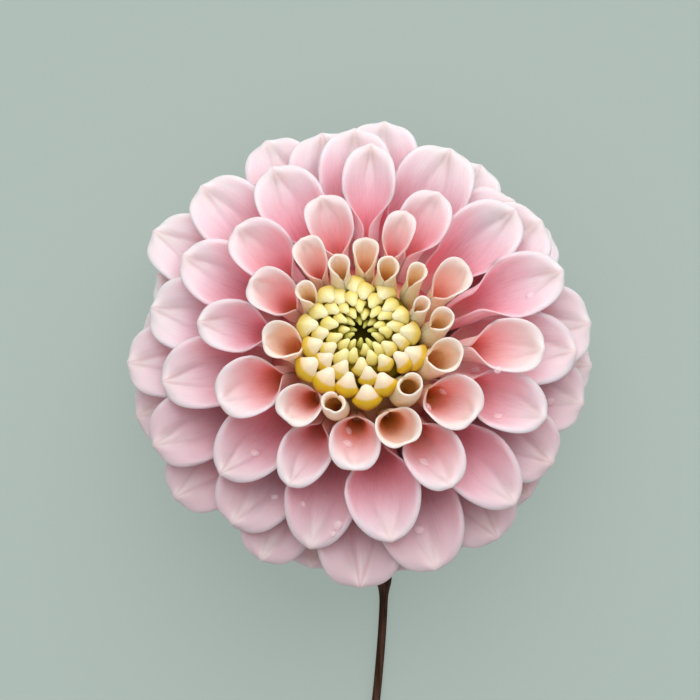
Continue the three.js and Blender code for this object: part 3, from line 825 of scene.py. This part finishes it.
def bud(ball_xyz, i):
    """The ball's points as closed floret i, and the looks that its material reads."""
    turn, wide, rib = bud_measures(i)
    along = (ball_xyz[:, 2] + 1) / 2
    angle = np.arctan2(ball_xyz[:, 1], ball_xyz[:, 0])
    # The yellow body, then the cream cap: widest at its lower edge, with hollow sides and a blunt tip.
    cap = np.clip((1 - along) / (1 - CAP_FROM), 0, 1)
    bell = (0.27 + 0.77 * cap**1.15) * rounded(cap / 0.14)
    body = (0.7 + 0.28 * eased(along, 0, CAP_FROM)) * np.clip(along / 0.02, 0, 1)
    size = wide * np.where(along < CAP_FROM, body, bell)
    keel = 0.7 * (1 - 0.25 * np.abs(np.cos(angle)))
    up = size * np.sin(angle) * np.where(np.sin(angle) > 0, 0.6, keel)
    points = on_rib(rib, along, up, size * np.cos(angle), turn)
    return points, {"along": along, "age": i / BUDS, "low": lower_side(turn)}


widths = [round(2 * bud_measures(i)[1], 1) for i in (closed[0], closed[-1])]
print("the closed florets are from", widths[0], "to", widths[1], "mm wide")

# %% Finish of the closed florets
# Each ramp starts dark at the floret's foot: painted shade in the gaps between the closed florets.
GREEN_BUD = [(0.4, (84, 84, 8)), (0.6, (190, 184, 70)), (1.0, (214, 208, 110))]
PALE_BODY = [(0.20, (126, 112, 20)), (0.42, (200, 178, 62)), (0.58, (224, 206, 108))]
GOLD_BODY = [(0.20, (120, 92, 2)), (0.42, (200, 158, 4)), (0.61, (220, 180, 12))]
YELLOW_CAP = [(0.72, (234, 220, 134)), (0.84, (242, 232, 156)), (1.0, (240, 231, 162))]
CREAM_CAP = [(0.72, (238, 224, 158)), (0.84, (243, 233, 182)), (1.0, (245, 235, 194))]
PEACH_CAP = [(0.66, (234, 208, 168)), (0.80, (242, 224, 196)), (1.0, (246, 232, 208))]


def bud_finish():
    """Green at the eye, then yellow, then cream on the upper side and peach on the lower, each dark at its
    foot as painted shade.
    """
    f = Finish("bud", Roughness=0.42, Subsurface_Weight=0.25, Subsurface_Scale=0.001)
    f.shader.inputs["Subsurface Radius"].default_value = (1, 0.8, 0.3)
    along, age = f.read("along"), f.read("age")
    green = f.ramp(along, GREEN_BUD)
    yellow = f.ramp(along, PALE_BODY + YELLOW_CAP)
    cream = f.ramp(along, PALE_BODY + CREAM_CAP)
    peach = f.ramp(along, GOLD_BODY + PEACH_CAP)
    older = f.mix(f.between(f.read("low"), 0.3, 0.85), cream, peach)
    colour = f.mix(f.between(age, 0.35, 0.85), yellow, older)
    return f.coat(f.mix(f.between(age, 0.06, 0.26), green, colour))


def make_ball():
    bm = bmesh.new()
    bmesh.ops.create_uvsphere(bm, u_segments=24, v_segments=40, radius=1)
    return mesh_of(bm, "ball")


ball = make_ball()
ball_points = points_of(ball)
buds = gather("buds", ball, [bud(ball_points, i) for i in closed])
buds.data.materials.append(bud_finish())

# %% [markdown]
# ## The dome
# The closed florets sit on a small dome with a dark pit in its middle, the eye. The pit's depth alone
# doesn't make it dark enough, because light comes in between the florets, so the colour also depends on how
# far a point is from the eye.

# %% Dome
EYE_HEIGHT = 21


def dome_finish():
    """Nearly black at the eye, as painted shade in the pit, and olive brown away from it."""
    f = Finish("dome", Roughness=1.0, Specular_IOR_Level=0.0)
    eye = place(0, 0, EYE_HEIGHT) * MM
    far = f.node("VectorMath", f.place(), eye, operation="DISTANCE").outputs["Value"]
    return f.coat(f.mix(f.between(far, 0.0015, 0.0050), srgb(10, 10, 4), srgb(128, 112, 26)))


DOME = [(0, 5), (8, 6), (10.6, 12), (11.4, 16.5), (10.7, 19.3)]
DOME += [(8.2, 21.2), (4.6, 21.4), (2.4, 20.4), (1.3, 18.6), (0, 18)]
dome = spun("dome", DOME)
dome.data.materials.append(dome_finish())

# %% [markdown]
# ## The calyx
# On the back of the head sits a green cup with two rows of bracts: an inner row that holds the florets, and
# fleshy outer ones that bend away. The cup is spun like the heart. Each bract is a slab again, as a petal
# is, with fewer points and a leaf's outline.

# %% Bracts
BRACT_ROOT = 5
BRACT_HEIGHT = -17


def bract(leaf_xyz, turn_degrees, length, wide, drop, curl):
    """A bract from the cup outwards. It sinks by drop along its length, and by curl at its end."""
    sideways, along, face = leaf_xyz[:, 0], (leaf_xyz[:, 1] + 1) / 2, leaf_xyz[:, 2]
    half = wide * np.sqrt(np.clip(1 - np.abs((along - 0.38) / 0.625) ** 2.2, 0.004, 1))
    edge = half * (1 - np.abs(sideways)) + 0.02
    half_thick = 0.5 * np.maximum(rounded(edge / 0.6), math.sqrt(0.1))
    keel = 0.14 * half * sideways**2 + 0.25 * bump(sideways, 0.12)
    z = BRACT_HEIGHT - drop * along - curl * along**2 + keel + face * half_thick
    return around(BRACT_ROOT + length * along, sideways * half, z, math.radians(turn_degrees)), {}


leaf = make_slab(10, 14)
leaf_points = points_of(leaf)
inner_row = [bract(leaf_points, 360 / 7 * k + 12 + 4 * draw(k, 11), 9.5, 3.6, -0.2, 0.2) for k in range(7)]
outer_row = [bract(leaf_points, 72 * k + 30 + 5 * draw(k, 12), 13, 2.8, 1.9, -1.4) for k in range(5)]
bracts = gather("bracts", leaf, inner_row + outer_row)


# %% Cup and green finish
def calyx_finish():
    """A mottled green, slightly bumpy."""
    f = Finish("calyx", Roughness=0.55, Subsurface_Weight=0.1, Subsurface_Scale=0.001)
    mottle = f.node("TexNoise", f.place(), None, 500.0).outputs[0]
    colour = f.mix(f.between(mottle, 0.35, 0.7), srgb(92, 118, 58), srgb(132, 152, 84))
    return f.coat(colour, 0.3, 0.0003, mottle)


CUP = [(0, -15.1), (10.2, -15.5), (10.9, -16.6), (9.8, -17.6), (7.4, -18.7)]
CUP += [(4.4, -19.5), (2.6, -20.2), (1.6, -20.6), (0, -20.6)]
cup = spun("cup", CUP)
green = calyx_finish()
for piece in (bracts, cup):
    piece.data.materials.append(green)

# %% [markdown]
# ## The stem
# A thin, woody brown stalk. It leaves the cup, bends within a few millimetres, and lies on the table in a
# gentle curve with a joint where a leaf once sat. A curve object with a round bevel would do for a plain
# stalk. This one swells at the neck and the joint and has faint ribs, so it is a cylinder cut into many
# short lengths, and each ring of it is set on the curve.

# %% Path of the stem
STEM_RADIUS = 0.95
STEM_TOP = -20.3


def stem_path():
    """Many close points on a smooth curve through the stem's stations."""
    x0, y0 = BLOOM_CENTRE[0], BLOOM_CENTRE[1]
    start = place(0.0, 0.0, STEM_TOP)
    down = np.array([0, -math.sin(BLOOM_TILT), -math.cos(BLOOM_TILT)])
    lie = STEM_RADIUS + 0.03
    stations = [
        start,
        start + 1.4 * down,
        (x0 + 0.1, start[1] - 2.4, 2.1),
        (x0 + 0.5, start[1] - 6.2, 1.2),
        (x0 + 1.3, start[1] - 12, lie),
        (x0 + 3.8, y0 - 32, lie),
        (x0 + 5.3, y0 - 50, lie),
        (x0 + 4.0, y0 - 74, lie),
        (x0 + 0.4, y0 - 102, lie),
        (x0 - 4.4, y0 - 138, lie),
    ]
    p = np.array([np.asarray(q, float) for q in stations])
    knots = np.concatenate([[0], np.cumsum(np.linalg.norm(np.diff(p, axis=0), axis=1) ** 0.5)])
    slopes = np.gradient(p, knots, axis=0)
    t = np.linspace(0, knots[-1], 4000)
    k = np.clip(np.searchsorted(knots, t) - 1, 0, len(knots) - 2)
    step = (knots[k + 1] - knots[k])[:, None]
    return hermite((t - knots[k])[:, None] / step, step, p[k], p[k + 1], slopes[k], slopes[k + 1])


curve = stem_path()
gone = np.concatenate([[0], np.cumsum(np.linalg.norm(np.diff(curve, axis=0), axis=1))])
print("the stem is", round(gone[-1], 1), "mm long")

# %% Stem
STEM_LENGTHS = 220
STEM_SIDES = 14
NECK_RADIUS = 1.7
JOINT_AT = 48.5
JOINT_HEIGHT = 0.8


def make_stem():
    """A cylinder of many rings, each set on the curve and given its own radius."""
    bm = bmesh.new()
    bmesh.ops.create_cone(bm, cap_ends=True, segments=STEM_SIDES, radius1=1, radius2=1, depth=2)
    bmesh.ops.subdivide_edges(bm, edges=upright_edges(bm), cuts=STEM_LENGTHS)
    mesh = mesh_of(bm, "stem")
    unit = points_of(mesh)
    run = (1 - unit[:, 2]) / 2 * gone[-1]
    at = np.stack([np.interp(run, gone, curve[:, c]) for c in range(3)], 1)
    way = np.stack([np.interp(run, gone, np.gradient(curve[:, c], gone)) for c in range(3)], 1)
    way /= np.linalg.norm(way, axis=1, keepdims=True)
    side = np.cross(way, (1.0, 0, 0))
    side /= np.linalg.norm(side, axis=1, keepdims=True)
    other = np.cross(way, side)
    neck = (NECK_RADIUS - STEM_RADIUS) * np.exp(-run / 3.2)
    radius = STEM_RADIUS + neck + JOINT_HEIGHT * bump(run - JOINT_AT, 2.8)
    ribs = 1 + 0.05 * np.cos(5 * np.arctan2(unit[:, 1], unit[:, 0]) + run / 30)
    points = at + (radius * ribs)[:, None] * (unit[:, :1] * side + unit[:, 1:2] * other)
    points[:, 2] = np.maximum(points[:, 2], 0.0)
    mesh.vertices.foreach_set("co", (points * MM).ravel())
    return finished("stalk", mesh)


def stem_finish():
    """Dark brown, with a grain that is stretched along the stem."""
    f = Finish("stem", Roughness=0.8, Specular_IOR_Level=0.2)
    long_ways = f.node("Mapping", f.place(), None, None, (1, 0.08, 1)).outputs[0]
    grain = f.node("TexNoise", long_ways, None, 1500.0).outputs[0]
    colour = f.mix(f.between(grain, 0.35, 0.7), srgb(48, 26, 12), srgb(84, 56, 42))
    return f.coat(colour, 0.5, 0.0002, grain)


stalk = make_stem()
stalk.data.materials.append(stem_finish())

# %% [markdown]
# ## The camera
# It looks straight down on the lying flower, as the photograph looks straight at the bloom. Its lens could
# be found by trying. Here it is worked out from the width that the frame should cover, so that a pixel has
# a known size. The camera stands a little to the side of the bloom's middle, because the bloom isn't quite
# in the middle of the picture.

# %% Camera
FRAME_PIXELS = 700
MM_PER_PIXEL = 0.2165
SENSOR_MM = 36
DISTANCE = 0.45
CAMERA_ASIDE = np.array([-2.38, 1.08, DISTANCE / MM])
camera = bpy.data.objects.new("camera", bpy.data.cameras.new("camera"))
bpy.context.scene.collection.objects.link(camera)
bpy.context.scene.camera = camera
camera.location = (BLOOM_CENTRE + CAMERA_ASIDE) * MM
camera.data.sensor_width = SENSOR_MM
camera.data.lens = SENSOR_MM * DISTANCE / (FRAME_PIXELS * MM_PER_PIXEL * MM)
print("lens", round(camera.data.lens, 1), "mm")

# %% [markdown]
# ## Drops of water
# A few drops rest on the petals. A scatter by chance would put them anywhere, so a table says at which
# pixel of the picture each one is seen, and how wide it looks. A ray from the camera through that pixel
# finds the petal, and the drop is a ball pressed flat along the petal's normal and sunk a little into it,
# so that it also sits on its petal when it is seen from the side. Real water is hard to read at this size,
# so the drops are pale beads that let the petal show through.

# %% Drops
DROPS_COLUMN_ROW_WIDTH = [
    (255, 453, 10), (275, 497, 9), (338, 525, 11), (333, 534, 6), (303, 504, 7), (348, 431, 9),
    (347, 444, 11), (424, 463, 12), (475, 371, 11), (498, 370, 8), (498, 417, 10), (549, 401, 10),
    (443, 391, 9), (428, 407, 8), (419, 530, 11), (530, 296, 8), (388, 415, 6),
]
DROP_LIFT = 0.12
DROP_NARROW = 0.9
DROP_FLAT = 0.55


def petal_under(column, row):
    """Where the ray through a pixel first meets a floret, and the normal there."""
    half = FRAME_PIXELS / 2
    step = MM_PER_PIXEL * MM
    ray = Vector(((column - half) * step, (half - row) * step, -DISTANCE)).normalized()
    seen = bpy.context.evaluated_depsgraph_get()
    hits = [BVHTree.FromObject(made[name], seen).ray_cast(camera.location, ray) for name in rings]
    point, normal, _, _ = min((hit for hit in hits if hit[0]), key=lambda hit: hit[3])
    return point, normal


def make_drops():
    """Flat balls, each standing on the petal that is seen at its pixel."""
    bm = bmesh.new()
    for column, row, wide in DROPS_COLUMN_ROW_WIDTH:
        point, normal = petal_under(column, row)
        r = wide / 2 * MM_PER_PIXEL * MM
        upright = normal.to_track_quat("Z", "Y").to_matrix().to_4x4()
        stand = Matrix.Translation(point + DROP_LIFT * r * normal) @ upright
        shape = stand @ Matrix.Diagonal((r, DROP_NARROW * r, DROP_FLAT * r, 1))
        bmesh.ops.create_uvsphere(bm, u_segments=24, v_segments=14, radius=1, matrix=shape)
    return finished("drops", mesh_of(bm, "drops"))


# The drops' pale colour is painted light: water has none, and the paleness stands in for the brightness a
# drop gathers.
water = Finish("water", Base_Color=srgb(255, 236, 240), Roughness=0.05, Specular_IOR_Level=1.0, Alpha=0.38)
drops = make_drops()
drops.data.materials.append(water.material)

# %% [markdown]
# ## Floor and light
# A plain sage floor. It glows a little, which lightens the shadow that the lying flower throws on it. A
# wide soft sun stands above the bloom's upper side, a weaker one almost overhead, and an even white
# surround fills the rest. Lamps with an area would do the same, but a sun is even over the whole floor. The
# key leaves the upper florets nearly white and the lower ones in a mauve shade, which painted shade in the
# petal finish deepens.

# %% Floor and lights
FLOOR_GLOW = 0.6
SURROUND = 0.38


def stage_floor():
    """The floor that the flower lies on. It is stage, not a piece of the flower."""
    bm = bmesh.new()
    bmesh.ops.create_grid(bm, x_segments=1, y_segments=1, size=2)
    mesh = mesh_of(bm, "floor")
    f = Finish("floor", Roughness=0.9, Base_Color=srgb(108, 118, 113))
    f.shader.inputs["Emission Color"].default_value = srgb(174, 189, 182)
    f.shader.inputs["Emission Strength"].default_value = FLOOR_GLOW
    mesh.materials.append(f.material)
    floor = bpy.data.objects.new("floor", mesh)
    bpy.context.scene.collection.objects.link(floor)


def soft_sun(name, where, spread, strength):
    """A sun that shines from there on the flower. A wide spread, in degrees, makes its shadows soft."""
    light = bpy.data.lights.new(name, "SUN")
    light.angle, light.energy = math.radians(spread), strength
    lamp = bpy.data.objects.new(name, light)
    bpy.context.scene.collection.objects.link(lamp)
    lamp.location = where
    lamp.rotation_euler = (-Vector(where)).to_track_quat("-Z", "Y").to_euler()
    print(name, "sun, strength", strength)


stage_floor()
soft_sun("key", (0.10, 0.62, 0.50), 80, 2.75)
soft_sun("fill", (-0.25, -0.10, 0.90), 70, 0.55)
world = bpy.data.worlds.new("surround")
bpy.context.scene.world = world
world.use_nodes = True
world.node_tree.nodes["Background"].inputs["Color"].default_value = (1, 1, 1, 1)
world.node_tree.nodes["Background"].inputs["Strength"].default_value = SURROUND
bpy.context.scene.view_settings.view_transform = "Standard"

# %% [markdown]
# ## The flower's body
# Every piece rides on the flower's one body, and the CAD node that it stands for is hidden. The drops
# stand for none, so they only ride along.

# %% Ride and replace
node_of = {
    "quill_florets": "quills",
    "spoons": "petals",
    "blades": "petals",
    "back_blades": "petals",
    "heart": "petals",
    "buds": "centre",
    "dome": "centre",
    "bracts": "calyx",
    "cup": "calyx",
    "stalk": "stem",
}
for name, node in node_of.items():
    piece = bpy.data.objects[name]
    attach(piece, "root")
    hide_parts(node)
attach(drops, "root")
print(len(node_of) + 1, "pieces ride on the flower")
